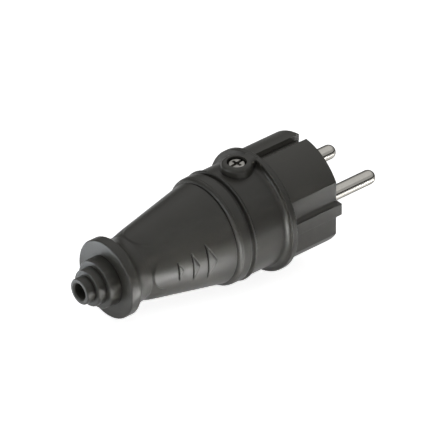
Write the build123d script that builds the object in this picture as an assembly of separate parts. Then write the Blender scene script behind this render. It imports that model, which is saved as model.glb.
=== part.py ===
from build123d import *
import math
import os

# Rewireable rubber power plug, lying on its side as it comes to rest, in millimetres.
# Each piece is drawn along the plug's own axis: X runs out of the engagement face through the pins,
# Z towards the screw boss, and the origin is the middle of the engagement face.
# The whole plug is then tipped back about that origin until flange and collar share one floor.

# Contact pins
pin_radius = 2.4
pin_length = 19.0
pin_spacing = 19.0
pin_root_radius = 3.0
pin_foot_radius = 2.8
pin_foot_length = 0.4
terminal_radius = 3.75
terminal_length = 17.4
terminal_edge = 0.4
wire_bore_radius = 1.7
wire_bore_depth = 11.0

# Head of the contact carrier
head_radius = 18.85
head_length = 21.4
head_rim_setback = 2.1
head_rim_edge = 0.35
raised_face_radius = 13.6
raised_face_edge = 0.6
flat_half_width = 16.2
guide_half_width = 17.8
guide_rib_width = 4.1
guide_foot_fillet = 1.3
guide_setback = 1.3
slot_width = 3.7
slot_lip = 2.0
strip_pocket_depth = 2.1
slot_front_wall = 1.4

# Rear of the contact carrier
spigot_radius = 15.75
spigot_length = 5.0
carrier_rear_length = 16.0
carrier_half_height = 13.6
nut_cover = 1.2
terminal_well_length = 6.4
terminal_well_width = 6.4
terminal_screw_from_rear = 6.0

# Earth contacts
strip_thickness = 1.0
strip_width = 7.0
earth_socket_offset = 10.0
earth_socket_bore = 2.42
earth_socket_radius = 3.0
earth_socket_length = 18.0
earth_slit_width = 0.6
earth_slit_end = 2.5
earth_pin_depth = 14.5
earth_shank_radius = 2.2
earth_rivet_radius = 2.4
earth_rivet_height = 0.9
earth_mouth_radius = 2.75
earth_mouth_wall = 1.6
earth_tab_height = -4.0
earth_tab_length = 8.4
earth_plate_length = 6.4
earth_plate_lip = 0.6
earth_nut_size = 6.0

# Rubber sleeve, rear to front
nozzle_bore_radius = 2.67
nozzle_bore_length = 8.0
nozzle_mouth_radius = 3.2
nozzle_mouth_depth = 0.5
nozzle_step_radii = (4.35, 6.1, 8.0)
nozzle_step_lengths = (3.0, 3.1, 4.3)
nozzle_edge = 0.5
collar_radius = 13.1
collar_thickness = 3.7
collar_rear_edge = 0.5
collar_front_edge = 1.2
grip_rear_radius = 10.1
grip_rear_fillet = 0.7
grip_front_radius = 16.9
grip_length = 35.5
rear_rib_radius = 18.05
rear_rib_width = 3.9
rear_rib_shoulder = 0.3
rear_rib_crease = 1.5
rib_edge = 0.4
groove_width = 1.2
groove_floor_radius = 17.2
front_rib_radius = 18.65
front_rib_width = 2.0
barrel_radius = 17.9
barrel_length = 12.2
flange_radius = 20.5
flange_thickness = 2.1
flange_fillet_share = 0.65
flange_edge = 0.4
sleeve_wall = 2.8
sleeve_rear_wall = 3.6

# Screw boss on the sleeve
boss_radius = 5.0
boss_bridge_half_width = 2.6
boss_bridge_fillet = 2.0
boss_from_flange_front = 7.7
boss_top_height = 20.75
boss_edge = 1.3
boss_recess_radius = 3.15
screw_sink = 0.55
screw_past_nut = 1.8

# Grip shapes of the sleeve
neck_flat_depth = 1.3
neck_nose_step = 0.75
neck_nose_from_collar = 6.5
neck_nose_radius = 5.5
neck_nose_height = 1.6
thumb_hollow_radius = 28.0
thumb_hollow_from_collar = 15.6
thumb_hollow_depth = 1.9
wedge_height = 0.45
wedge_centre_height = 1.0
wedge_from_grip_front = (20.9, 15.6, 10.4)
wedge_spans = (6.6, 9.4, 12.4)
wedge_reaches = (1.7, 2.3, 3.2)

# Retainer and cord clamp
retainer_thickness = 2.5
retainer_radius = 14.2
retainer_top = 9.0
retainer_bottom = -11.5
retainer_window_half = 4.2
retainer_window_top = 1.5
retainer_screw_offset = 7.5
clamp_from_carrier = 13.4
clamp_length = 7.0
clamp_half_width = 9.1
clamp_top = 6.5
clamp_gap_top = 0.8
clamp_gap_bottom = -2.7
clamp_arm_width = 3.6
clamp_arm_gap = 2.0
clamp_screw_offset = 6.5
cord_channel_radius = 3.7
bridge_thickness = 2.5
bridge_setback = 0.5
bridge_bar_drop = 0.8
bridge_ridge_length = 1.2
bridge_ridge_share = 0.75

# Screws and nuts
m3_radius = 1.5
m3_head_radius = 2.7
m3_head_height = 2.0
m3_nut_size = 5.5
m3_nut_height = 2.4
nut_sink = 0.1
clamp_screw_length = 12.0
terminal_thread_radius = 1.75
terminal_screw_length = 6.0
terminal_screw_tip = 0.6
terminal_head_radius = 2.6
terminal_head_height = 1.8
earth_head_radius = 3.0
retainer_thread_radius = 1.25
retainer_screw_length = 10.0
retainer_head_radius = 2.3
retainer_head_height = 1.6
head_edge_share = 0.25
driver_slot_width = 0.9
driver_slot_depth = 1.0
cross_slot_width = 1.05
cross_slot_depth = 0.8
cross_wing_length = 3.6
cross_wing_width = 1.0
cross_wing_depth = 1.3
cross_turn = 7.0

# Fits
slide_fit = 0.05
thread_fit = 0.04
clearance_hole = 0.15
wire_hole = 0.4
carrier_end_gap = 0.3
past = 1.0

# Stations along the axis, from the engagement face backwards
flange_front = -head_length
spigot_rear = flange_front - spigot_length
carrier_rear = flange_front - carrier_rear_length
flange_rear = flange_front - flange_thickness
front_rib_front = flange_rear - barrel_length
front_rib_rear = front_rib_front - front_rib_width
rear_rib_front = front_rib_rear - groove_width
rear_rib_rear = rear_rib_front - rear_rib_width
grip_front = rear_rib_rear
grip_rear = grip_front - grip_length
collar_rear = grip_rear - collar_thickness
nozzle_end = collar_rear - sum(nozzle_step_lengths)
retainer_front = carrier_rear
retainer_rear = retainer_front - retainer_thickness
boss_x = flange_front - boss_from_flange_front
terminal_screw_x = carrier_rear + terminal_screw_from_rear
clamp_x = carrier_rear - clamp_from_carrier
strip_outer = head_radius - slot_lip
slot_front = -head_rim_setback - slot_front_wall
strip_step_x = flange_front + 2 * strip_thickness
arm_outer = carrier_half_height + slide_fit + strip_thickness
head_seat = boss_top_height - screw_sink - m3_head_height
nut_floor = carrier_half_height - nut_cover - m3_nut_height
housing_screw_length = head_seat - nut_floor + screw_past_nut
clamp_nut_floor = clamp_top - nut_sink - m3_nut_height
earth_terminal_x = carrier_rear - earth_tab_length / 2 - carrier_end_gap


def turned(corners):
    """Solid of revolution about X from (x, radius, rounding) corners in order."""
    points = [(x, r) for x, r, _ in corners]
    face = make_face(Plane.XZ * Polyline(*points, close=True))
    for x, r, rounding in corners:
        if rounding > 0:
            nearest = face.vertices().sort_by_distance(Vector(x, 0, r))[0]
            face = fillet(nearest, rounding)
    return revolve(face, Axis.X, 360)


def rod(x_rear, x_front, radius, y=0, z=0):
    """Cylinder along X between two stations."""
    length = x_front - x_rear
    return Pos((x_rear + x_front) / 2, y, z) * Rot(0, 90, 0) * Cylinder(radius, length)


def post(z_low, z_high, radius, x=0, y=0):
    """Upright cylinder between two heights."""
    return Pos(x, y, (z_low + z_high) / 2) * Cylinder(radius, z_high - z_low)


def block(x_rear, x_front, y_low, y_high, z_low, z_high):
    """Box between two stations, sides and heights."""
    size = Box(x_front - x_rear, y_high - y_low, z_high - z_low)
    return Pos((x_rear + x_front) / 2, (y_low + y_high) / 2, (z_low + z_high) / 2) * size


def grip_radius_at(x):
    """Outer radius of the grip's cone at a station."""
    share = (x - grip_rear) / grip_length
    return grip_rear_radius + share * (grip_front_radius - grip_rear_radius)


def sleeve_outside():
    """Nozzle steps, collar, grip cone, two ribs, barrel and flange in one turned form."""
    corners = [(nozzle_end, 0, 0)]
    x = nozzle_end
    for radius, length in zip(nozzle_step_radii, nozzle_step_lengths):
        corners.append((x, radius, nozzle_edge))
        x += length
        corners.append((x, radius, 0))
    corners += [
        (collar_rear, collar_radius, collar_rear_edge),
        (grip_rear, collar_radius, collar_front_edge),
        (grip_rear, grip_rear_radius, grip_rear_fillet),
        (grip_front, grip_front_radius, 0),
        (grip_front + rear_rib_shoulder, (grip_front_radius + rear_rib_radius) / 2, rib_edge),
        (grip_front + rear_rib_crease, rear_rib_radius, 0),
        (rear_rib_front, rear_rib_radius, rib_edge),
        (rear_rib_front, groove_floor_radius, 0),
        (front_rib_rear, groove_floor_radius, 0),
        (front_rib_rear, front_rib_radius, rib_edge),
        (front_rib_front, front_rib_radius, rib_edge / 2),
        (front_rib_front, barrel_radius, 0),
        (flange_rear, barrel_radius, flange_fillet_share * (flange_radius - barrel_radius)),
        (flange_rear, flange_radius, flange_edge),
        (flange_front, flange_radius, flange_edge),
        (flange_front, 0, 0),
    ]
    return turned(corners)


def sleeve_inside():
    """Cable bore, cone of the cable space and the mouth that takes the carrier."""
    bore_front = nozzle_end + nozzle_bore_length
    mouth_rear = carrier_rear - carrier_end_gap
    return turned([
        (nozzle_end - past, 0, 0),
        (nozzle_end - past, nozzle_mouth_radius, 0),
        (nozzle_end, nozzle_mouth_radius, 0),
        (nozzle_end + nozzle_mouth_depth, nozzle_bore_radius, 0),
        (bore_front, nozzle_bore_radius, 0),
        (grip_rear, grip_rear_radius - sleeve_rear_wall, 0),
        (mouth_rear, grip_radius_at(mouth_rear) - sleeve_wall, 0),
        (mouth_rear, spigot_radius + slide_fit, 0),
        (flange_front + past, spigot_radius + slide_fit, 0),
        (flange_front + past, 0, 0),
    ])


def screw_boss():
    """Round, flat-topped boss with a narrower bridge that runs forward into the flange."""
    run = flange_front - flange_edge - boss_x
    outline = Pos(boss_x, 0) * Circle(boss_radius)
    outline += Pos(boss_x + run / 2, 0) * Rectangle(run, 2 * boss_bridge_half_width)
    corners = outline.vertices().group_by(Axis.X)[0]
    outline = fillet(corners, boss_bridge_fillet)
    low = spigot_radius + past
    boss = extrude(Pos(0, 0, low) * outline, boss_top_height - low)
    return fillet(boss.edges().group_by(Axis.Z)[-1], boss_edge)


def neck_flat(side):
    """Shallow finger flat beside the collar that ends at a round nose of the grip."""
    nose_x = grip_rear + neck_nose_from_collar
    low = grip_rear_radius - neck_flat_depth
    lean = math.atan2(grip_radius_at(nose_x) - neck_nose_step - low, neck_nose_from_collar)
    width = 2 * grip_rear_radius
    slab = Pos(neck_nose_from_collar, width / 2, 0) * Box(2 * neck_nose_from_collar, width, width)
    slab = Pos(grip_rear, low, 0) * Rot(0, 0, math.degrees(lean)) * slab
    nose = Pos(nose_x + neck_nose_radius, width / 2, neck_nose_height) \
        * Rot(90, 0, 0) * Cylinder(neck_nose_radius, 2 * width)
    front = block(nose_x + neck_nose_radius, grip_front, 0, 2 * width, -width, width)
    cut = slab - nose - front - rod(collar_rear - past, grip_rear, collar_radius + past)
    return cut if side > 0 else mirror(cut, Plane.XZ)


def thumb_hollow(side):
    """Shallow hollow across the top or bottom of the grip."""
    x = grip_rear + thumb_hollow_from_collar
    lean = math.atan2(grip_front_radius - grip_rear_radius, grip_length)
    height = thumb_hollow_radius + grip_radius_at(x) - thumb_hollow_depth
    centre = Pos(x - height * math.sin(lean) + grip_radius_at(x) * math.sin(lean), 0, height)
    hollow = centre * Rot(90, 0, 0) * Cylinder(thumb_hollow_radius, 2 * grip_front_radius)
    return hollow if side > 0 else mirror(hollow, Plane.XY)


def grip_wedge(side, x_base, span, reach):
    """Raised arrowhead on the grip, its flat end to the rear and its point forward."""
    low = wedge_centre_height - span / 2
    outline = make_face(Plane.XZ * Polyline(
        (x_base, low),
        (x_base, low + span),
        (x_base + reach, wedge_centre_height),
        close=True))
    prism = extrude(outline, 2 * grip_front_radius, dir=(0, 1, 0))
    x_low, x_high = x_base - past, x_base + reach + past
    shell = turned([
        (x_low, 0, 0),
        (x_low, grip_radius_at(x_low) + wedge_height, 0),
        (x_high, grip_radius_at(x_high) + wedge_height, 0),
        (x_high, 0, 0),
    ])
    wedge = prism & shell
    return wedge if side > 0 else mirror(wedge, Plane.XZ)


def rubber_sleeve():
    """One rubber moulding: nozzle, collar, grip, ribs, barrel, flange and boss."""
    sleeve = sleeve_outside() + screw_boss()
    for side in (1, -1):
        sleeve -= neck_flat(side)
        sleeve -= thumb_hollow(side)
        for back, span, reach in zip(wedge_from_grip_front, wedge_spans, wedge_reaches):
            sleeve += grip_wedge(side, grip_front - back, span, reach)
    sleeve -= sleeve_inside()
    sleeve -= post(head_seat, boss_top_height + past, boss_recess_radius, boss_x)
    sleeve -= post(0, head_seat + past, m3_radius + clearance_hole, boss_x)
    return sleeve


def head_section():
    """Cross-section of the head: a circle with two flats and a guide rib on each flat."""
    section = Circle(head_radius) & Rectangle(2 * flat_half_width, 2 * head_radius)
    section += Rectangle(2 * guide_half_width, guide_rib_width)
    feet = [corner for corner in section.vertices()
            if abs(abs(corner.X) - flat_half_width) < slide_fit
            and abs(corner.Y) < guide_rib_width]
    return fillet(feet, guide_foot_fillet)


def head_form():
    """Round head with flats and guide ribs, and a raised round face in front."""
    across = Plane(origin=(flange_front, 0, 0), x_dir=(0, 1, 0), z_dir=(1, 0, 0))
    head = extrude(across * head_section(), head_length - head_rim_setback)
    head = fillet(head.faces().sort_by(Axis.X)[-1].edges(), head_rim_edge)
    half_rib = guide_rib_width / 2
    head += block(flange_front, -guide_setback, -guide_half_width, guide_half_width,
                  -half_rib, half_rib)
    return head + turned([
        (flange_front, 0, 0),
        (flange_front, raised_face_radius, 0),
        (0, raised_face_radius, raised_face_edge),
        (0, 0, 0),
    ])


def earth_slot(side):
    """T-shaped slot for one earth strip, open outwards and at the front."""
    floor = strip_outer - strip_pocket_depth
    half_pocket = strip_width / 2 + slide_fit
    outside = head_radius + past
    slot = block(spigot_rear - past, past, -slot_width / 2, slot_width / 2, floor, outside)
    slot += block(flange_front, slot_front, -half_pocket, half_pocket, floor, strip_outer)
    slot += block(spigot_rear - past, flange_front + strip_thickness, -half_pocket, half_pocket,
                  carrier_half_height, outside)
    slot += block(flange_front, strip_step_x + strip_thickness, -half_pocket, half_pocket,
                  carrier_half_height, strip_outer)
    return slot if side > 0 else mirror(slot, Plane.XY)


def contact_carrier():
    """Moulded insert that holds pins and earth parts: head in front, spigot and terminal block behind."""
    carrier = head_form() + rod(spigot_rear, flange_front, spigot_radius)
    rear = rod(carrier_rear, spigot_rear, spigot_radius)
    rear &= block(carrier_rear, spigot_rear, -spigot_radius, spigot_radius,
                  -carrier_half_height, carrier_half_height)
    carrier += rear
    well = terminal_well_length / 2
    behind = carrier_rear - past
    for side in (1, -1):
        y = side * pin_spacing / 2
        carrier -= earth_slot(side)
        carrier -= rod(flange_front, past, pin_root_radius + slide_fit, y)
        carrier -= rod(behind, carrier_rear + terminal_length, terminal_radius + slide_fit, y)
        carrier -= block(terminal_screw_x - well, terminal_screw_x + well,
                         y - terminal_well_width / 2, y + terminal_well_width / 2,
                         0, spigot_radius)
        carrier -= rod(behind, carrier_rear + retainer_screw_length - retainer_thickness,
                       retainer_thread_radius + thread_fit,
                       side * retainer_screw_offset, -retainer_screw_offset)
    carrier -= rod(behind, -earth_mouth_wall, earth_socket_radius + slide_fit,
                   0, -earth_socket_offset)
    carrier -= rod(flange_front, past, earth_mouth_radius, 0, -earth_socket_offset)
    half_web = strip_width / 2 + slide_fit
    carrier -= block(behind, carrier_rear + strip_thickness, -half_web, half_web,
                     -spigot_radius, spigot_radius)
    nut_half = m3_nut_size / 2 + slide_fit
    carrier -= block(behind, boss_x + nut_half, -nut_half, nut_half,
                     nut_floor - slide_fit, nut_floor + m3_nut_height + slide_fit)
    carrier -= post(head_seat - housing_screw_length - past, spigot_radius,
                    m3_radius + clearance_hole, boss_x)
    return carrier


def contact_pin(side):
    """Turned pin: round-nosed contact, thicker root in the carrier and a bored terminal behind."""
    y = side * pin_spacing / 2
    terminal_front = carrier_rear + terminal_length
    nose_x = pin_length - pin_radius
    pin = turned([
        (carrier_rear, 0, 0),
        (carrier_rear, terminal_radius, terminal_edge),
        (terminal_front, terminal_radius, 0),
        (terminal_front, pin_root_radius, 0),
        (0, pin_root_radius, 0),
        (0, pin_foot_radius, 0),
        (pin_foot_length, pin_radius, 0),
        (nose_x, pin_radius, 0),
        (nose_x, 0, 0),
    ])
    pin += Pos(nose_x, 0, 0) * Sphere(pin_radius)
    pin -= rod(carrier_rear - past, carrier_rear + wire_bore_depth, wire_bore_radius)
    pin -= post(0, terminal_radius + past, terminal_thread_radius + thread_fit, terminal_screw_x)
    return Pos(0, y, 0) * pin


def cheese_head_screw(screw_head_radius, head_height, shank_radius, length):
    """Screw without its driver recess: seat of the head at height 0, shank below it."""
    head = post(0, head_height, screw_head_radius)
    head = fillet(head.edges().group_by(Axis.Z)[-1], head_height * head_edge_share)
    return head + post(-length, 0, shank_radius)


def slotted_screw(screw_head_radius, head_height, shank_radius, length):
    """Cheese-head screw with a straight slot."""
    half = driver_slot_width / 2
    slot = block(-screw_head_radius, screw_head_radius, -half, half,
                 head_height - driver_slot_depth, head_height + past)
    return cheese_head_screw(screw_head_radius, head_height, shank_radius, length) - slot


def cross_recess():
    """Driver recess of the housing screw: a slot over its whole head and a deeper cross."""
    top = m3_head_height + past
    half_slot = cross_slot_width / 2
    half_wing = cross_wing_width / 2
    slot = block(-m3_head_radius, m3_head_radius, -half_slot, half_slot,
                 m3_head_height - cross_slot_depth, top)
    wing = block(-cross_wing_length / 2, cross_wing_length / 2, -half_wing, half_wing,
                 m3_head_height - cross_wing_depth, top)
    return slot + wing + Rot(0, 0, 90) * wing


def square_nut(x, y, z_low):
    """Square nut with its thread as a plain bore."""
    half = m3_nut_size / 2
    z_high = z_low + m3_nut_height
    nut = block(x - half, x + half, y - half, y + half, z_low, z_high)
    return nut - post(z_low - past, z_high + past, m3_radius + thread_fit, x, y)


def housing_screw():
    """Screw through the boss that locks the sleeve to the carrier."""
    screw = cheese_head_screw(m3_head_radius, m3_head_height, m3_radius, housing_screw_length)
    return Pos(boss_x, 0, head_seat) * Rot(0, 0, cross_turn) * (screw - cross_recess())


def terminal_screw(side):
    """Screw that presses a conductor in the terminal's bore."""
    seat = terminal_screw_tip + terminal_screw_length
    screw = slotted_screw(terminal_head_radius, terminal_head_height, terminal_thread_radius,
                          terminal_screw_length)
    return Pos(terminal_screw_x, side * pin_spacing / 2, seat) * screw


def earth_bracket():
    """Bent strip: a contact arm in each slot, a web behind the carrier and a terminal tab."""
    half = strip_width / 2
    web_front = carrier_rear + strip_thickness
    contact = block(strip_step_x - strip_thickness, slot_front - slide_fit, -half, half,
                    strip_outer - strip_thickness, strip_outer - slide_fit)
    step = block(strip_step_x - strip_thickness, strip_step_x, -half, half,
                 carrier_half_height + slide_fit, strip_outer - slide_fit)
    arm = block(carrier_rear, strip_step_x, -half, half,
                carrier_half_height + slide_fit, arm_outer)
    arms = contact + step + arm
    bracket = arms + mirror(arms, Plane.XY)
    bracket += block(carrier_rear, web_front, -half, half, -arm_outer, arm_outer)
    tab_top = earth_tab_height
    bracket += block(carrier_rear - earth_tab_length, web_front, -half, half,
                     tab_top - strip_thickness, tab_top)
    bracket -= post(0, strip_outer, m3_radius + clearance_hole, boss_x)
    bracket -= rod(carrier_rear - past, web_front + past, m3_radius + slide_fit,
                   0, -earth_socket_offset)
    bracket -= post(tab_top - strip_thickness - past, tab_top + past,
                    terminal_thread_radius + clearance_hole, earth_terminal_x)
    return bracket


def earth_socket():
    """Turned socket for an earth pin: split spring tube, shank and riveted end."""
    rivet_rear = carrier_rear - earth_rivet_height
    web_front = carrier_rear + strip_thickness
    tube_rear = -earth_socket_length - earth_mouth_wall
    bore_rear = -earth_mouth_wall - earth_pin_depth
    socket = turned([
        (rivet_rear, 0, 0),
        (rivet_rear, earth_rivet_radius, earth_rivet_height / 2),
        (carrier_rear, earth_rivet_radius, 0),
        (carrier_rear, m3_radius, 0),
        (web_front, m3_radius, 0),
        (web_front, earth_shank_radius, 0),
        (tube_rear, earth_shank_radius, 0),
        (tube_rear, earth_socket_radius, 0),
        (-earth_mouth_wall, earth_socket_radius, 0),
        (-earth_mouth_wall, earth_socket_bore, 0),
        (bore_rear, earth_socket_bore, 0),
        (bore_rear, 0, 0),
    ])
    half_slit = earth_slit_width / 2
    socket -= block(bore_rear + earth_slit_end, 0, -earth_socket_radius, earth_socket_radius,
                    -half_slit, half_slit)
    return Pos(0, 0, -earth_socket_offset) * socket


def earth_terminal_screw():
    """Screw of the earth terminal, over the clamp plate."""
    seat = earth_tab_height + strip_thickness
    screw = slotted_screw(earth_head_radius, terminal_head_height, terminal_thread_radius,
                          terminal_screw_length)
    return Pos(earth_terminal_x, 0, seat) * screw


def earth_clamp_plate():
    """Square plate that spreads the earth screw's pressure, with two lips for the conductor."""
    x_rear = earth_terminal_x - earth_plate_length / 2
    x_front = earth_terminal_x + earth_plate_length / 2
    low, high = earth_tab_height, earth_tab_height + strip_thickness
    inner = strip_width / 2 + slide_fit
    outer = inner + earth_plate_lip
    plate = block(x_rear, x_front, -outer, outer, low, high)
    for y_low, y_high in ((-outer, -inner), (inner, outer)):
        plate += block(x_rear, x_front, y_low, y_high, low - earth_plate_lip, high)
    return plate - post(low - past, high + past, terminal_thread_radius + clearance_hole,
                        earth_terminal_x)


def earth_terminal_nut():
    """Square nut under the tab."""
    x = earth_terminal_x
    half = earth_nut_size / 2
    high = earth_tab_height - strip_thickness
    nut = block(x - half, x + half, -half, half, high - m3_nut_height, high)
    return nut - post(high - m3_nut_height - past, high + past,
                      terminal_thread_radius + thread_fit, x)


def clamp_saddle():
    """Upper half of the cord clamp with a channel for the cord and two pockets for nuts."""
    clamp_rear, clamp_front = clamp_x - clamp_length / 2, clamp_x + clamp_length / 2
    saddle = block(clamp_rear, clamp_front, -clamp_half_width, clamp_half_width,
                   clamp_gap_top, clamp_top)
    saddle -= rod(clamp_rear - past, clamp_front + past, cord_channel_radius)
    nut_half = m3_nut_size / 2 + slide_fit
    for y in (clamp_screw_offset, -clamp_screw_offset):
        saddle -= block(clamp_x - nut_half, clamp_x + nut_half, y - nut_half, y + nut_half,
                        clamp_nut_floor, clamp_top + past)
        saddle -= post(0, clamp_top + past, m3_radius + clearance_hole, clamp_x, y)
    return saddle


def rear_retainer():
    """Moulded plate that keeps the pins in, with the saddle of the cord clamp behind it."""
    behind, before = retainer_rear - past, retainer_front + past
    plate = rod(retainer_rear, retainer_front, retainer_radius)
    plate &= block(retainer_rear, retainer_front, -retainer_radius, retainer_radius,
                   retainer_bottom, retainer_top)
    plate -= block(behind, before, -retainer_window_half, retainer_window_half,
                   retainer_bottom - past, retainer_window_top)
    arm_rear = clamp_x + clamp_length / 2
    for side in (1, -1):
        plate -= rod(behind, before, wire_bore_radius + wire_hole, side * pin_spacing / 2)
        plate -= rod(behind, before, retainer_thread_radius + clearance_hole,
                     side * retainer_screw_offset, -retainer_screw_offset)
        inner, outer = sorted((side * (clamp_half_width - clamp_arm_width), side * clamp_half_width))
        plate += block(arm_rear, retainer_rear, inner, outer,
                       clamp_gap_top + clamp_arm_gap, clamp_top)
    return plate + clamp_saddle()


def retainer_screw(side):
    """Thread-forming screw from behind through the retainer into the carrier."""
    screw = slotted_screw(retainer_head_radius, retainer_head_height, retainer_thread_radius,
                          retainer_screw_length)
    place = Pos(retainer_rear, side * retainer_screw_offset, -retainer_screw_offset)
    return place * Rot(0, -90, 0) * screw


def cord_clamp_bridge():
    """Clamp bar under the cord with a ridge that bites into it."""
    top = clamp_gap_bottom
    low = top - bridge_thickness
    hollow = top - bridge_bar_drop
    half = clamp_length / 2 - bridge_setback
    rear, front = clamp_x - half, clamp_x + half
    bar = block(rear, front, -clamp_half_width, clamp_half_width, low, hollow)
    bar += block(rear, front, -cord_channel_radius, cord_channel_radius, low, top)
    bar -= rod(rear - past, front + past, cord_channel_radius, 0, cord_channel_radius + hollow)
    ridge_half = cord_channel_radius * bridge_ridge_share
    bar += block(clamp_x - bridge_ridge_length / 2, clamp_x + bridge_ridge_length / 2,
                 -ridge_half, ridge_half, (low + top) / 2, top)
    for y in (clamp_screw_offset, -clamp_screw_offset):
        bar -= post(low - past, top + past, m3_radius + clearance_hole, clamp_x, y)
    return bar


def cord_clamp_screw(side):
    """Screw that draws the bridge up to the saddle, head below."""
    screw = slotted_screw(m3_head_radius, terminal_head_height, m3_radius, clamp_screw_length)
    low = clamp_gap_bottom - bridge_thickness
    return Pos(clamp_x, side * clamp_screw_offset, low) * Rot(180, 0, 0) * screw


def rest_tilt():
    """Angle that brings the rounded rims of flange and collar down to one level."""
    flange_x, flange_r = flange_rear + flange_edge, flange_radius - flange_edge
    collar_x, collar_r = grip_rear - collar_front_edge, collar_radius - collar_front_edge
    run, rise = flange_x - collar_x, flange_r - collar_r
    rounding = flange_edge - collar_front_edge
    return math.degrees(math.atan2(rise, run) + math.asin(rounding / math.hypot(run, rise)))


def pieces():
    """Every piece of the plug by its node's name, along the plug's own axis."""
    left, right = 1, -1
    return {
        "rubber_sleeve": rubber_sleeve(),
        "contact_carrier": contact_carrier(),
        "line_pin": contact_pin(right),
        "neutral_pin": contact_pin(left),
        "line_terminal_screw": terminal_screw(right),
        "neutral_terminal_screw": terminal_screw(left),
        "earth_bracket": earth_bracket(),
        "earth_socket": earth_socket(),
        "earth_terminal_screw": earth_terminal_screw(),
        "earth_clamp_plate": earth_clamp_plate(),
        "earth_terminal_nut": earth_terminal_nut(),
        "rear_retainer": rear_retainer(),
        "retainer_screw_left": retainer_screw(left),
        "retainer_screw_right": retainer_screw(right),
        "cord_clamp_bridge": cord_clamp_bridge(),
        "cord_clamp_screw_left": cord_clamp_screw(left),
        "cord_clamp_screw_right": cord_clamp_screw(right),
        "cord_clamp_nut_left": square_nut(clamp_x, clamp_screw_offset, clamp_nut_floor),
        "cord_clamp_nut_right": square_nut(clamp_x, -clamp_screw_offset, clamp_nut_floor),
        "housing_screw": housing_screw(),
        "housing_nut": square_nut(boss_x, 0, nut_floor),
    }


os.makedirs("parts", exist_ok=True)
tilt = rest_tilt()
print("rest tilt", round(tilt, 4), "nozzle end", round(nozzle_end, 3))
for name, piece in pieces().items():
    export_step(Rot(0, -tilt, 0) * piece, f"parts/{name}.step")
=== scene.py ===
import math

import bmesh
import bpy
import numpy as np
from mathutils import Matrix, Vector


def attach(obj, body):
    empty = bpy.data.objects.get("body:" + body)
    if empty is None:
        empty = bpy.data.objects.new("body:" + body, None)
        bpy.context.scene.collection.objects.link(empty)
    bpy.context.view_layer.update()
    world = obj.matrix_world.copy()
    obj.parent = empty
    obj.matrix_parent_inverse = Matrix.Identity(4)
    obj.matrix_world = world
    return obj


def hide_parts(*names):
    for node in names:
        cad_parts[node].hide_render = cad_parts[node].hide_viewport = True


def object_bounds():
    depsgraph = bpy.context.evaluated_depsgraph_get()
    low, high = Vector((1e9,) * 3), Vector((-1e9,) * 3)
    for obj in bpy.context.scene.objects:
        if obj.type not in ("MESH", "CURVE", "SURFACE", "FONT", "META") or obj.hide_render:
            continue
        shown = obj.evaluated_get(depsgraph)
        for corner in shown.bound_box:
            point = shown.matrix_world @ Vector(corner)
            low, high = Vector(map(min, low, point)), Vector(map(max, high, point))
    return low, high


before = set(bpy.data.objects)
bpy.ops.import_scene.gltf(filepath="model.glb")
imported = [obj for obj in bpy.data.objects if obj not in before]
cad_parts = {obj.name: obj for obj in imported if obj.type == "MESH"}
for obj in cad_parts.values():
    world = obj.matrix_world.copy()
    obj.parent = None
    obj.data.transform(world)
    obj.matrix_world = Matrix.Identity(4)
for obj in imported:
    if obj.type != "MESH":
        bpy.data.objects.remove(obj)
cad_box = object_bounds()

# The plug lies tipped about the Y axis of the engagement face, nose up.
TILT = math.radians(7.4675)
PLUG_TO_FRAME = Matrix.Rotation(-TILT, 4, "Y")
MM = 0.001


def plug_point(x, y, z):
    """A point given along the plug's own axis in millimetres, in the row frame in metres."""
    return PLUG_TO_FRAME @ Vector((x * MM, y * MM, z * MM))


# Materials

class Nodes:
    """The node tree of a material or world, built up step by step."""

    def __init__(self, owner):
        owner.use_nodes = True
        self.tree = owner.node_tree
        self.tree.nodes.clear()

    def add(self, kind, **settings):
        node = self.tree.nodes.new(kind)
        for key, value in settings.items():
            setattr(node, key, value)
        return node

    def link(self, source, target):
        self.tree.links.new(source, target)

    def math(self, operation, a, b, clamp=False):
        node = self.add("ShaderNodeMath", operation=operation, use_clamp=clamp)
        for socket, value in zip(node.inputs, (a, b)):
            if isinstance(value, (int, float)):
                socket.default_value = value
            else:
                self.link(value, socket)
        return node.outputs[0]

    def ramp(self, value, low, high, start=0.0, end=1.0):
        """value between low and high turned into start to end."""
        node = self.add("ShaderNodeMapRange")
        node.inputs["From Min"].default_value = low
        node.inputs["From Max"].default_value = high
        node.inputs["To Min"].default_value = start
        node.inputs["To Max"].default_value = end
        self.link(value, node.inputs["Value"])
        return node.outputs[0]


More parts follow.
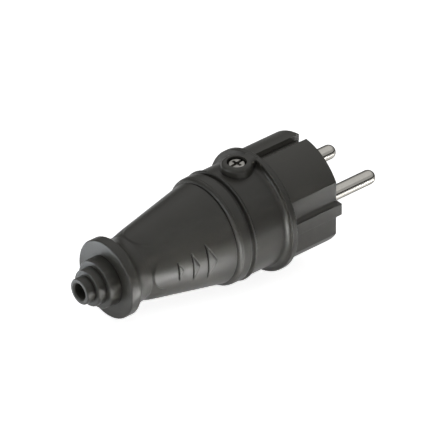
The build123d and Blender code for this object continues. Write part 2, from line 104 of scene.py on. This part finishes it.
class Surface(Nodes):
    """A material around one Principled shader, with coordinates along the plug's axis."""

    def __init__(self, name):
        self.material = bpy.data.materials.new(name)
        super().__init__(self.material)
        out = self.add("ShaderNodeOutputMaterial")
        self.shader = self.add("ShaderNodeBsdfPrincipled")
        self.link(self.shader.outputs[0], out.inputs["Surface"])
        coords = self.add("ShaderNodeTexCoord")
        turn = self.add("ShaderNodeVectorRotate", rotation_type="Y_AXIS")
        turn.inputs["Angle"].default_value = TILT
        self.link(coords.outputs["Object"], turn.inputs["Vector"])
        self.along = turn.outputs["Vector"]

    def fixed(self, **values):
        """Numbers that are the same all over the surface, set on the shader's own sockets."""
        for key, value in values.items():
            self.shader.inputs[key.replace("_", " ")].default_value = value
        return self

    def stretched(self, scale):
        """Coordinates along the plug's axis, scaled by axis."""
        node = self.add("ShaderNodeMapping")
        node.inputs["Scale"].default_value = scale
        self.link(self.along, node.inputs["Vector"])
        return node.outputs[0]

    def noise(self, size_mm, detail=3.0, roughness=0.55, stretch=None, distortion=0.0):
        """Noise whose features are about size_mm across, 0 to 1."""
        node = self.add("ShaderNodeTexNoise")
        node.inputs["Scale"].default_value = 1000.0 / size_mm
        node.inputs["Detail"].default_value = detail
        node.inputs["Roughness"].default_value = roughness
        node.inputs["Distortion"].default_value = distortion
        self.link(self.stretched(stretch) if stretch else self.along, node.inputs["Vector"])
        return node.outputs["Fac"]

    def cells(self, size_mm):
        """Distance to the middle of irregular cells about size_mm across."""
        node = self.add("ShaderNodeTexVoronoi", feature="F1")
        node.inputs["Scale"].default_value = 1000.0 / size_mm
        self.link(self.along, node.inputs["Vector"])
        return node.outputs["Distance"]

    def mix(self, share, a, b):
        """Colour a, turning into colour b as share grows to 1."""
        node = self.add("ShaderNodeMix", data_type="RGBA")
        self.link(share, node.inputs["Factor"])
        for socket, value in ((node.inputs[6], a), (node.inputs[7], b)):
            if isinstance(value, tuple):
                socket.default_value = (*value, 1.0)
            else:
                self.link(value, socket)
        return node.outputs[2]

    def rounded(self, radius_mm):
        """Normals as if every edge had this radius."""
        bevel = self.add("ShaderNodeBevel", samples=6)
        bevel.inputs["Radius"].default_value = radius_mm * MM
        return bevel.outputs[0]

    def edges(self, radius_mm):
        """1 on sharp outer and inner edges, 0 on smooth faces."""
        geometry = self.add("ShaderNodeNewGeometry")
        dot = self.add("ShaderNodeVectorMath", operation="DOT_PRODUCT")
        self.link(self.rounded(radius_mm), dot.inputs[0])
        self.link(geometry.outputs["Normal"], dot.inputs[1])
        return self.ramp(dot.outputs["Value"], 0.995, 0.86)

    def painted_shade_openness(self, distance_mm):
        """1 on open faces, falling to 0 in corners and hollows of about distance_mm; the mask for
        painted shade.
        """
        node = self.add("ShaderNodeAmbientOcclusion", samples=6)
        node.inputs["Distance"].default_value = distance_mm * MM
        return node.outputs["AO"]

    def bump(self, height, strength, distance_mm, rounding_mm):
        """Fine relief over edges that are rounded a little."""
        node = self.add("ShaderNodeBump")
        node.inputs["Strength"].default_value = strength
        node.inputs["Distance"].default_value = distance_mm * MM
        self.link(height, node.inputs["Height"])
        self.link(self.rounded(rounding_mm), node.inputs["Normal"])
        return node.outputs[0]

    def set(self, socket, value):
        self.link(value, self.shader.inputs[socket])


def rubber():
    """Moulded dark rubber: a very fine matt grain, cloudy bloom, scuffed edges, and painted shade in the
    hollows, which also lose their sheen.
    """
    look = Surface("moulded_rubber").fixed(IOR=1.5, Metallic=0.0)
    cloud = look.noise(9.0, detail=4.0, roughness=0.6)
    fine = look.noise(0.22, detail=2.0, roughness=0.6)
    flow = look.noise(2.4, detail=3.0, stretch=(0.35, 1.0, 1.0), distortion=0.6)
    edge = look.edges(0.5)
    open_for_wide_painted_shade = look.painted_shade_openness(2.2)
    open_for_close_painted_shade = look.painted_shade_openness(0.6)
    body = look.mix(look.ramp(cloud, 0.3, 0.7), (0.0395, 0.038, 0.0315), (0.047, 0.0452, 0.038))
    body = look.mix(look.ramp(flow, 0.45, 0.8, 0.0, 0.35), body, (0.051, 0.0495, 0.0445))
    worn = look.math("MULTIPLY", edge, look.ramp(look.noise(1.1, detail=4.0), 0.42, 0.68), clamp=True)
    body = look.mix(look.math("MULTIPLY", worn, 0.12), body, (0.13, 0.128, 0.12))
    # Painted shade: the colour darkens in corners and hollows, and more in narrow cuts and creases.
    body = look.mix(look.ramp(open_for_wide_painted_shade, 0.75, 0.25, 0.0, 0.75), body, (0.02, 0.0195, 0.018))
    body = look.mix(look.ramp(open_for_close_painted_shade, 0.8, 0.35, 0.0, 0.85), body, (0.008, 0.008, 0.0075))
    look.set("Base Color", body)
    # Painted shade also turns the sheen down in the narrow hollows.
    look.set("Specular IOR Level", look.ramp(open_for_close_painted_shade, 0.35, 0.8, 0.04, 0.5))
    grain = look.ramp(fine, 0.3, 0.7, -0.03, 0.03)
    rough = look.math("ADD", look.ramp(cloud, 0.3, 0.7, 0.33, 0.39), grain)
    look.set("Roughness", look.math("SUBTRACT", rough, look.math("MULTIPLY", edge, 0.06)))
    height = look.math("ADD", look.math("MULTIPLY", fine, 0.7), look.math("MULTIPLY", flow, 0.5))
    look.set("Normal", look.bump(height, 0.22, 0.03, rounding_mm=0.25))
    return look.material


def head_plastic():
    """Moulded thermoset of the contact carrier: eroded mould grain, worn edges, painted shade in the
    corners.
    """
    look = Surface("carrier_plastic").fixed(Specular_IOR_Level=0.5, IOR=1.5, Metallic=0.0)
    cloud = look.noise(14.0, detail=3.0)
    grain = look.cells(0.16)
    fine = look.noise(0.3, detail=2.0)
    edge = look.edges(0.35)
    body = look.mix(look.ramp(cloud, 0.3, 0.7), (0.06, 0.0578, 0.049), (0.069, 0.0665, 0.0565))
    body = look.mix(look.ramp(grain, 0.2, 0.75, 0.0, 0.35), body, (0.047, 0.0453, 0.039))
    worn = look.math("MULTIPLY", edge, look.ramp(look.noise(0.9, detail=4.0), 0.4, 0.65), clamp=True)
    body = look.mix(look.math("MULTIPLY", worn, 0.12), body, (0.15, 0.148, 0.14))
    # Painted shade: the colour darkens in corners and hollows.
    body = look.mix(look.ramp(look.painted_shade_openness(2.0), 0.7, 0.2, 0.0, 0.7), body, (0.018, 0.0175, 0.016))
    look.set("Base Color", body)
    uneven = look.ramp(fine, 0.3, 0.7, -0.03, 0.03)
    look.set("Roughness", look.math("ADD", look.ramp(cloud, 0.3, 0.7, 0.4, 0.47), uneven))
    look.set("Normal", look.bump(look.math("ADD", grain, fine), 0.16, 0.02, rounding_mm=0.2))
    return look.material


def pale_plastic():
    """Light grey moulded plastic of the parts inside, with painted shade in its corners."""
    look = Surface("inner_plastic").fixed(Specular_IOR_Level=0.5, IOR=1.5, Metallic=0.0)
    cloud = look.noise(6.0, detail=3.0)
    grain = look.noise(0.25, detail=2.0)
    body = look.mix(look.ramp(cloud, 0.3, 0.7), (0.55, 0.55, 0.52), (0.62, 0.62, 0.59))
    # Painted shade: the colour darkens in corners and hollows.
    body = look.mix(look.ramp(look.painted_shade_openness(1.5), 0.8, 0.3, 0.0, 0.6), body, (0.3, 0.295, 0.28))
    look.set("Base Color", body)
    look.set("Roughness", look.ramp(grain, 0.3, 0.7, 0.42, 0.55))
    look.set("Normal", look.bump(grain, 0.15, 0.02, rounding_mm=0.15))
    return look.material


CORNER_PAINTED_SHADE = 0.16    # painted shade in the corners of turned metal, as a share of its dark tone


def turned_metal(name, light, dark, rough):
    """Turned metal: fine rings round the axis, faint handling marks and painted shade in the corners."""
    look = Surface(name).fixed(Metallic=1.0, Specular_Tint=(0.0, 0.0, 0.0, 1.0))
    rings = look.noise(0.09, detail=2.0, stretch=(1.0, 0.02, 0.02))
    bands = look.noise(0.8, detail=2.0, stretch=(1.0, 0.05, 0.05))
    smear = look.noise(1.8, detail=5.0, roughness=0.65, distortion=0.8)
    corner_painted_shade = tuple(c * CORNER_PAINTED_SHADE for c in dark)
    body = look.mix(look.ramp(smear, 0.35, 0.7), light, dark)
    # Painted shade: the colour darkens in corners and hollows.
    body = look.mix(look.ramp(look.painted_shade_openness(1.2), 0.7, 0.15, 0.0, 0.85), body, corner_painted_shade)
    look.set("Base Color", body)
    lathe_marks = look.ramp(rings, 0.3, 0.7, rough * 0.8, rough * 1.2)
    handled = look.math("ADD", lathe_marks, look.ramp(smear, 0.4, 0.75, 0.0, 0.07))
    look.set("Roughness", look.math("ADD", handled, look.ramp(bands, 0.3, 0.7, -0.02, 0.02)))
    look.set("Normal", look.bump(look.math("ADD", rings, bands), 0.04, 0.01, rounding_mm=0.15))
    return look.material


def strip_metal():
    """Rolled nickel-plated strip: long rolling marks, painted shade in the slot."""
    look = Surface("rolled_strip").fixed(Metallic=1.0)
    lines = look.noise(0.12, detail=2.0, stretch=(0.03, 1.0, 1.0))
    smear = look.noise(1.5, detail=4.0, distortion=0.6)
    body = look.mix(look.ramp(smear, 0.35, 0.7), (0.5, 0.485, 0.45), (0.36, 0.35, 0.325))
    # Painted shade: the colour falls almost to black in the slot and other hollows.
    body = look.mix(look.ramp(look.painted_shade_openness(2.5), 0.8, 0.2, 0.0, 0.9), body, (0.03, 0.029, 0.027))
    look.set("Base Color", body)
    dull = look.ramp(smear, 0.4, 0.7, 0.0, 0.08)
    look.set("Roughness", look.math("ADD", look.ramp(lines, 0.3, 0.7, 0.26, 0.38), dull))
    look.set("Normal", look.bump(lines, 0.08, 0.01, rounding_mm=0.15))
    return look.material


def plated_steel():
    """Zinc-plated steel of screws, nuts and plate: crystalline plating with dull patches and painted
    shade in the corners.
    """
    look = Surface("zinc_plate").fixed(Metallic=1.0)
    crystals = look.cells(0.35)
    smear = look.noise(1.2, detail=4.0, distortion=0.5)
    body = look.mix(look.ramp(crystals, 0.1, 0.6), (0.62, 0.63, 0.63), (0.5, 0.51, 0.52))
    body = look.mix(look.ramp(smear, 0.5, 0.75, 0.0, 0.5), body, (0.42, 0.41, 0.38))
    # Painted shade: the colour darkens in corners and hollows.
    body = look.mix(look.ramp(look.painted_shade_openness(1.0), 0.7, 0.2, 0.0, 0.8), body, (0.1, 0.1, 0.1))
    look.set("Base Color", body)
    dull = look.ramp(smear, 0.4, 0.7, 0.0, 0.1)
    look.set("Roughness", look.math("ADD", look.ramp(crystals, 0.1, 0.6, 0.24, 0.34), dull))
    look.set("Normal", look.bump(crystals, 0.1, 0.01, rounding_mm=0.12))
    return look.material


def use(node, material):
    """Puts one material on every slot of a CAD node."""
    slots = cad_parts[node].data.materials
    if not slots:
        slots.append(material)
    for i in range(len(slots)):
        slots[i] = material


RUBBER = rubber()
HEAD = head_plastic()
PALE = pale_plastic()
NICKEL = turned_metal("nickel_plate", (0.7, 0.68, 0.63), (0.64, 0.62, 0.57), 0.11)
BRASS = turned_metal("turned_brass", (0.72, 0.54, 0.27), (0.58, 0.41, 0.19), 0.28)
BRIGHT = turned_metal("bright_screw", (0.6, 0.585, 0.55), (0.5, 0.485, 0.45), 0.3)
STRIP = strip_metal()
ZINC = plated_steel()

LOOKS = {
    "rubber_sleeve": RUBBER,
    "contact_carrier": HEAD,
    "line_pin": NICKEL,
    "neutral_pin": NICKEL,
    "earth_bracket": STRIP,
    "earth_socket": BRASS,
    "earth_terminal_nut": BRASS,
    "rear_retainer": PALE,
    "cord_clamp_bridge": PALE,
    "housing_screw": BRIGHT,
}
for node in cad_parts:
    use(node, LOOKS.get(node, ZINC))


# The sleeve's moulded outside

# Turned form between collar and barrel, in millimetres along the plug's axis and from it.
COLLAR_RADIUS, COLLAR_FRONT = 13.1, -79.5
WAIST_AT, WAIST_RADIUS, WAIST_ARC = -73.6, 10.9, 6.9
CONE_AT, CONE_RADIUS, CONE_SLOPE = -71.0, 11.33, 0.1965
CONE_REAR, CONE_FRONT = -76.6, -46.9
BARREL_REAR, BARREL_RADIUS = -35.7, 17.9
RIB_OUTLINE = (
    (CONE_FRONT, 16.07), (-43.1, 16.8), (-43.0, 16.35), (-42.75, 16.35),
    (-42.65, 16.9), (-42.4, 17.4), (-42.05, 17.8), (-41.75, 18.0),
    (-41.65, 17.75), (-41.55, 17.75), (-41.45, 18.04), (-38.15, 18.12),
    (-38.05, 17.0), (-36.95, 17.0), (-36.8, 17.95), (-36.6, 18.4), (-36.2, 18.6),
    (-36.1, 17.6), (-35.95, 17.6), (-35.85, BARREL_RADIUS), (-30.0, BARREL_RADIUS))
ROUNDING, ROUNDING_REACH, ROUNDING_SAMPLES = 0.1, 2.4, 13

# Reliefs between collar and grip, each cut short by a round nose of the grip.
SIDE_NOSE_AT, SIDE_NOSE_HEIGHT, SIDE_NOSE_RADIUS, SIDE_NOSE_EDGE = -66.1, 1.3, 5.5, 0.18
SIDE_RELIEF = ((-75.5, -73.6, -72.5, -71.6, -67.0), (0.0, 0.16, 0.5, 0.9, 0.0))
SIDE_RELIEF_HALF_HEIGHT, SIDE_RELIEF_EDGE = 7.0, 1.5
TOP_NOSE_AT, TOP_NOSE_RADIUS, TOP_NOSE_EDGE = -66.0, 6.8, 0.22
TOP_RELIEF = ((-76.5, -72.8, -67.5), (0.0, 0.35, 0.0))
TOP_RELIEF_HALF_WIDTH, TOP_RELIEF_EDGE = 7.3, 1.3

# Grip marks on each side: station of the long cut, its height and how far its point reaches.
MARKS = ((-63.1, 6.4, 1.5), (-58.1, 9.2, 2.2), (-53.0, 12.2, 3.1))
MARK_CENTRE = 1.0
CUT_DEPTH, CUT_BEHIND, CUT_AHEAD = 0.95, 0.17, 0.27
CUT_END, CUT_END_FADE = 0.97, 0.06    # as shares of the half height
SINK, SHORTEST_SINK, SINK_FADE = 0.1, 0.05, 0.06
EDGE_DEPTH, EDGE_BEHIND, EDGE_AHEAD, EDGE_FADE, LOWER_EDGE_SHARE = 0.42, 0.3, 0.1, 0.1, 0.5

# Stations along the axis and degrees round it, as (start, end, step): close where the form is fine.
STATIONS = (
    (-79.48, -78.0, 0.15), (-78.0, -76.0, 0.25), (-76.0, -65.6, 0.18), (-65.6, -63.6, 0.5),
    (-63.6, -61.2, 0.1), (-61.2, -58.6, 0.5), (-58.6, -55.6, 0.1), (-55.6, -53.5, 0.5),
    (-53.5, -49.6, 0.1), (-49.6, -43.4, 0.6), (-43.4, -40.7, 0.07), (-40.7, -38.3, 0.5),
    (-38.3, -36.6, 0.08), (-36.6, -36.0, 0.2), (-36.0, -35.72, 0.06))
DEGREES = ((0, 58, 2.0), (58, 122, 0.8), (122, 238, 2.0), (238, 302, 0.8), (302, 358.5, 2.0))

# How the old outside is found, in millimetres: its deepest point under the turned form behind and
# ahead of a station, the play at its two rims, and the distance at which the mesh's points are one.
OLD_SPLIT, OLD_DEPTH_BEHIND, OLD_DEPTH_AHEAD = -50.0, 2.4, 1.2
RIM_PLAY, RIM_REACH, SAME_POINT = 0.01, 0.05, 0.002


def step(value, width):
    """0 below -width and 1 above width, smooth between."""
    t = np.clip((value + width) / (2 * width), 0, 1)
    return t * t * (3 - 2 * t)


def sharp_radius(x):
    """Radius of the turned form before its edges are rounded."""
    arc = WAIST_ARC - np.sqrt(np.maximum(WAIST_ARC ** 2 - np.minimum(x - WAIST_AT, 0) ** 2, 0))
    waist = np.minimum(COLLAR_RADIUS, WAIST_RADIUS + arc)
    cone = CONE_RADIUS + CONE_SLOPE * (x - CONE_AT)
    ribs = np.interp(x, *zip(*RIB_OUTLINE))
    return np.where(x > CONE_FRONT, ribs, np.where(x > CONE_REAR, np.maximum(waist, cone), waist))


def turned_radius(x):
    """Radius of the turned form, its edges rounded by a bell-shaped average along the axis."""
    offsets = np.linspace(-ROUNDING_REACH, ROUNDING_REACH, ROUNDING_SAMPLES)
    weights = np.exp(-0.5 * offsets ** 2)
    return sum(w * sharp_radius(x + o * ROUNDING) for w, o in zip(weights, offsets)) / weights.sum()


def mark_depth(x, z, at, height, reach):
    """Depth of one grip mark: a long cut, and a sunk point in front of it between two fine edges."""
    lift = np.abs(z - MARK_CENTRE) / (height / 2)
    inside = lift < 1
    ahead = x - at
    front = reach * (1 - lift)
    cut = CUT_DEPTH * np.exp(-(ahead / np.where(ahead < 0, CUT_BEHIND, CUT_AHEAD)) ** 2)
    cut *= 1 - step(lift - CUT_END, CUT_END_FADE)
    sink = SINK * np.clip(1 - ahead / np.maximum(front, SHORTEST_SINK), 0, 1) * step(ahead, SINK_FADE)
    past = ahead - front
    edge = EDGE_DEPTH * np.exp(-(past / np.where(past < 0, EDGE_BEHIND, EDGE_AHEAD)) ** 2)
    edge *= np.where(z > MARK_CENTRE, 1.0, LOWER_EDGE_SHARE) * step(ahead, EDGE_FADE)
    return cut + sink * inside + edge * inside


def moulded_radius(x, angle):
    """Outside of the sleeve between collar and barrel; angle runs from the top to the near side."""
    base = turned_radius(x)
    y, z = -base * np.sin(angle), base * np.cos(angle)
    side_nose = step(SIDE_NOSE_RADIUS - np.hypot(x - SIDE_NOSE_AT, z - SIDE_NOSE_HEIGHT), SIDE_NOSE_EDGE)
    top_nose = step(TOP_NOSE_RADIUS - np.hypot(x - TOP_NOSE_AT, y), TOP_NOSE_EDGE)
    side = np.interp(x, *SIDE_RELIEF) * (1 - step(np.abs(z) - SIDE_RELIEF_HALF_HEIGHT, SIDE_RELIEF_EDGE))
    top = np.interp(x, *TOP_RELIEF) * (1 - step(np.abs(y) - TOP_RELIEF_HALF_WIDTH, TOP_RELIEF_EDGE))
    radius = base - side * (1 - side_nose) - top * (1 - top_nose)
    on_side = np.abs(y) > np.abs(z)
    for at, height, reach in MARKS:
        radius = radius - np.where(on_side, mark_depth(x, z, at, height, reach), 0)
    return radius


def spaced(*spans):
    """Values in a row, given as (start, end, step) spans."""
    runs = [np.linspace(a, b, max(2, round((b - a) / gap)), endpoint=False) for a, b, gap in spans]
    return np.concatenate(runs + [[spans[-1][1]]])


def stitch(bm, inner, outer, flip):
    """Joins two closed rings round the axis with triangles; each is a list of (angle, point)."""
    i = j = 0
    n, m = len(inner), len(outer)
    while i < n or j < m:
        a, b = inner[i % n][1], outer[j % m][1]
        next_a = inner[(i + 1) % n][0] + (math.tau if i + 1 >= n else 0)
        next_b = outer[(j + 1) % m][0] + (math.tau if j + 1 >= m else 0)
        if j >= m or (i < n and next_a <= next_b):
            corners = (a, inner[(i + 1) % n][1], b)
            i += 1
        else:
            corners = (a, outer[(j + 1) % m][1], b)
            j += 1
        bm.faces.new(corners[::-1] if flip else corners)


def on_old_outside(vert):
    """True for a point of the plain turned form that the moulded one takes the place of."""
    depth = OLD_DEPTH_BEHIND if vert.co.x < OLD_SPLIT else OLD_DEPTH_AHEAD
    least = float(sharp_radius(np.array(vert.co.x))) - depth
    between_rims = COLLAR_FRONT - RIM_PLAY < vert.co.x < BARREL_REAR + RIM_PLAY
    return between_rims and math.hypot(vert.co.y, vert.co.z) > least


def cad_sleeve():
    """The CAD sleeve as an editable mesh in millimetres along the plug's axis, with its normals kept."""
    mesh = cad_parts["rubber_sleeve"].data.copy()
    kept = mesh.attributes.new("kept_normal", "FLOAT_VECTOR", "CORNER")
    kept.data.foreach_set("vector", [c for n in mesh.corner_normals for c in n.vector])
    bm = bmesh.new()
    bm.from_mesh(mesh)
    bpy.data.meshes.remove(mesh)
    bm.transform(PLUG_TO_FRAME.inverted())
    bmesh.ops.scale(bm, vec=(1 / MM, 1 / MM, 1 / MM), verts=bm.verts)
    bmesh.ops.remove_doubles(bm, verts=bm.verts, dist=SAME_POINT)
    return bm


def open_outside(bm):
    """Takes the old outside away and returns the points along the two openings."""
    outside = {v for v in bm.verts if on_old_outside(v)}
    old = [f for f in bm.faces if all(v in outside for v in f.verts)]
    bmesh.ops.delete(bm, geom=old, context="FACES")
    return {v for e in bm.edges if e.is_boundary for v in e.verts}


def add_moulded_outside(bm, open_points):
    """Lays the moulded form over the opening as a grid and joins it to both rims."""
    angles = np.radians(spaced(*DEGREES))
    x, angle = np.meshgrid(spaced(*STATIONS), angles, indexing="ij")
    radius = moulded_radius(x, angle)
    y, z = -radius * np.sin(angle), radius * np.cos(angle)
    rows = [[bm.verts.new(p) for p in zip(*line)] for line in zip(x, y, z)]
    for row, ahead in zip(rows, rows[1:]):
        for i in range(len(row)):
            k = (i + 1) % len(row)
            bm.faces.new((row[i], row[k], ahead[k], ahead[i]))
    for row, place, flip in ((rows[0], COLLAR_FRONT, False), (rows[-1], BARREL_REAR, True)):
        rim = [v for v in open_points if abs(v.co.x - place) < RIM_REACH]
        turns = [(math.atan2(-v.co.y, v.co.z) % math.tau, v) for v in rim]
        stitch(bm, list(zip(angles, row)), sorted(turns, key=lambda turn: turn[0]), flip)
    bmesh.ops.recalc_face_normals(bm, faces=bm.faces)


def restore_normals(mesh):
    """Gives the faces that stayed their CAD normals; new faces have none kept and use their own."""
    kept = [Vector(c.vector) for c in mesh.attributes["kept_normal"].data]
    fresh = [Vector(c.vector) for c in mesh.corner_normals]
    mesh.normals_split_custom_set([k if k.length > 0.5 else n for k, n in zip(kept, fresh)])
    mesh.attributes.remove(mesh.attributes["kept_normal"])


def moulded_sleeve():
    """The sleeve with waist, noses, grip marks and rounded ribs in place of the plain turned form."""
    bm = cad_sleeve()
    add_moulded_outside(bm, open_outside(bm))
    bmesh.ops.scale(bm, vec=(MM, MM, MM), verts=bm.verts)
    bm.transform(PLUG_TO_FRAME)
    mesh = bpy.data.meshes.new("moulded_sleeve")
    bm.to_mesh(mesh)
    bm.free()
    mesh.shade_smooth()
    restore_normals(mesh)
    mesh.materials.clear()
    mesh.materials.append(RUBBER)
    sleeve = bpy.data.objects.new("moulded_sleeve", mesh)
    bpy.context.scene.collection.objects.link(sleeve)
    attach(sleeve, "root")
    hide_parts("rubber_sleeve")


moulded_sleeve()


# Camera: the photo's view, from behind, above and the plug's right-hand side

AZIMUTH, ELEVATION, ROLL = math.radians(50.27), math.radians(33.95), math.radians(-0.49)
FOCAL_PX, PHOTO_PX, SENSOR_MM = 6293.0, 448.0, 36.0
DISTANCE, LOOK_AT = 1953.6, Vector((-45.0, 0, 0))    # millimetres, in the plug's own axes
SHIFT_RIGHT_PX, SHIFT_UP_PX = 26.07, 11.81


def look_from_photo():
    """Place of the camera, fitted to the photo in the plug's own axes, then tipped with the plug."""
    flat = math.cos(ELEVATION)
    forward = Vector((math.cos(AZIMUTH) * flat, math.sin(AZIMUTH) * flat, -math.sin(ELEVATION)))
    level = Vector((math.sin(AZIMUTH), -math.cos(AZIMUTH), 0))
    upward = level.cross(forward)
    right = level * math.cos(ROLL) + upward * math.sin(ROLL)
    up = upward * math.cos(ROLL) - level * math.sin(ROLL)
    shift = (right * SHIFT_RIGHT_PX + up * SHIFT_UP_PX) * (DISTANCE / FOCAL_PX)
    axes = Matrix((right, up, -forward)).transposed().to_4x4()
    axes.translation = (LOOK_AT - forward * DISTANCE + shift) * MM
    return PLUG_TO_FRAME @ axes


camera_data = bpy.data.cameras.new("photo_camera")
camera = bpy.data.objects.new("photo_camera", camera_data)
bpy.context.scene.collection.objects.link(camera)
camera.matrix_world = look_from_photo()
camera_data.sensor_width = SENSOR_MM
camera_data.lens = SENSOR_MM * FOCAL_PX / PHOTO_PX
camera_data.clip_start = 0.05
camera_data.clip_end = 20.0
bpy.context.scene.camera = camera
bpy.context.scene.view_settings.view_transform = "Standard"


# Floor, world and lamps

FLOOR_REACH = 3.0
FLOOR_HEIGHT = cad_box[0].z
WHITE_TO_CAMERA = 0.86

# Painted glow of the floor, seen only in reflections: pale up to the first distance from the middle, dim
# from the second on.
POOL_MIDDLE = (-0.03, 0.0, FLOOR_HEIGHT)
POOL_PALE_TO, POOL_DIM_FROM, POOL_PALE, POOL_DIM = 0.1, 0.24, 0.52, 0.04

# World: dark up to the first height of a direction, soft light from the second on.
DOME_DARK_TO, DOME_LIGHT_FROM, DOME_DARK, DOME_LIGHT = 0.22, 0.34, 0.03, 0.42

square = ((-1, -1), (1, -1), (1, 1), (-1, 1))
corners = [(x * FLOOR_REACH, y * FLOOR_REACH, FLOOR_HEIGHT) for x, y in square]
floor_mesh = bpy.data.meshes.new("floor")
floor_mesh.from_pydata(corners, [], [(0, 1, 2, 3)])
floor = bpy.data.objects.new("floor", floor_mesh)
bpy.context.scene.collection.objects.link(floor)


def painted_reflection_pool(nodes):
    """Painted glow of the floor in reflections: a pale pool of light round the plug, dim further out."""
    coords = nodes.add("ShaderNodeTexCoord")
    away = nodes.add("ShaderNodeVectorMath", operation="DISTANCE")
    away.inputs[1].default_value = POOL_MIDDLE
    nodes.link(coords.outputs["Object"], away.inputs[0])
    return nodes.ramp(away.outputs["Value"], POOL_PALE_TO, POOL_DIM_FROM, POOL_PALE, POOL_DIM)


def floor_material():
    """White paper that keeps a soft shadow: plain white to the camera, with a painted pool of light that
    glows in reflections.
    """
    material = bpy.data.materials.new("white_floor")
    nodes = Nodes(material)
    paper = nodes.add("ShaderNodeBsdfDiffuse")
    paper.inputs["Color"].default_value = (0.8, 0.8, 0.8, 1)
    path = nodes.add("ShaderNodeLightPath")
    seen = nodes.math("ADD", path.outputs["Is Camera Ray"], path.outputs["Is Transmission Ray"])
    white = nodes.math("MULTIPLY", seen, WHITE_TO_CAMERA)
    # Painted light: a pool that glows on the floor only in reflections.
    painted_pool_glow = nodes.math("MULTIPLY", path.outputs["Is Glossy Ray"], painted_reflection_pool(nodes))
    glow = nodes.add("ShaderNodeEmission")
    nodes.link(nodes.math("ADD", white, painted_pool_glow), glow.inputs["Strength"])
    both = nodes.add("ShaderNodeAddShader")
    nodes.link(paper.outputs[0], both.inputs[0])
    nodes.link(glow.outputs[0], both.inputs[1])
    out = nodes.add("ShaderNodeOutputMaterial")
    nodes.link(both.outputs[0], out.inputs["Surface"])
    return material


def studio_world():
    """White to the camera; to the plug, a soft dome that is dark near the horizon."""
    world = bpy.data.worlds.new("studio")
    nodes = Nodes(world)
    coords = nodes.add("ShaderNodeTexCoord")
    split = nodes.add("ShaderNodeSeparateXYZ")
    nodes.link(coords.outputs["Generated"], split.inputs[0])
    dome = nodes.ramp(split.outputs["Z"], DOME_DARK_TO, DOME_LIGHT_FROM, DOME_DARK, DOME_LIGHT)
    path = nodes.add("ShaderNodeLightPath")
    seen = nodes.add("ShaderNodeMapRange")
    seen.inputs["To Max"].default_value = 1.0
    nodes.link(dome, seen.inputs["To Min"])
    nodes.link(path.outputs["Is Camera Ray"], seen.inputs["Value"])
    background = nodes.add("ShaderNodeBackground")
    background.inputs["Color"].default_value = (1, 1, 1, 1)
    nodes.link(seen.outputs[0], background.inputs["Strength"])
    out = nodes.add("ShaderNodeOutputWorld")
    nodes.link(background.outputs[0], out.inputs["Surface"])
    return world


floor_mesh.materials.append(floor_material())
bpy.context.scene.world = studio_world()

WHITE = (1, 1, 1)
COOL = (0.86, 0.93, 1.0)
SKY = (0.92, 0.96, 1.0)
LAMPS_AIM_AT = plug_point(-35, 0, 0)


def panel(name, size, power, colour, spread=180.0):
    """Rectangular lamp at the origin that shines straight down; sizes in metres, spread in degrees."""
    data = bpy.data.lights.new(name, "AREA")
    data.shape = "RECTANGLE"
    data.size, data.size_y = size
    data.energy = power
    data.color = colour
    data.spread = math.radians(spread)
    lit = bpy.data.objects.new(name, data)
    bpy.context.scene.collection.objects.link(lit)
    return lit


def lamp(name, toward, distance, size, power, colour):
    """Soft lamp that shines on the plug from a direction given along the plug's own axes."""
    lit = panel(name, size, power, colour)
    direction = (PLUG_TO_FRAME.to_3x3() @ Vector(toward)).normalized()
    lit.location = LAMPS_AIM_AT + direction * distance
    lit.rotation_mode = "QUATERNION"
    lit.rotation_quaternion = (-direction).to_track_quat("-Z", "Y")


lamp("rear_lamp", (-1.0, 0.2, 0.08), 0.9, (0.5, 0.25), 3.0, SKY)
lamp("top_lamp", (0.2, 0.1, 1.0), 1.2, (2.4, 2.4), 4.0, WHITE)

# Small lamps over the patches of floor that the grip, the rear faces and the pins mirror:
# name, size, power, spread, colour, place along X and Y, and height above the floor.
FLOOR_LAMPS = (
    ("near_floor_panel", (0.05, 0.02), 0.065, 20.0, WHITE, -0.066, -0.046, 0.12),
    ("rear_floor_panel", (0.04, 0.04), 0.027, 30.0, COOL, -0.125, 0.035, 0.12),
    ("low_rear_panel", (0.03, 0.03), 0.03, 120.0, COOL, -0.14, 0.045, 0.05),
    ("pin_floor_panel", (0.03, 0.03), 0.045, 40.0, WHITE, 0.058, -0.07, 0.12))
for name, size, power, spread, colour, x, y, height in FLOOR_LAMPS:
    panel(name, size, power, colour, spread).location = (x, y, FLOOR_HEIGHT + height)
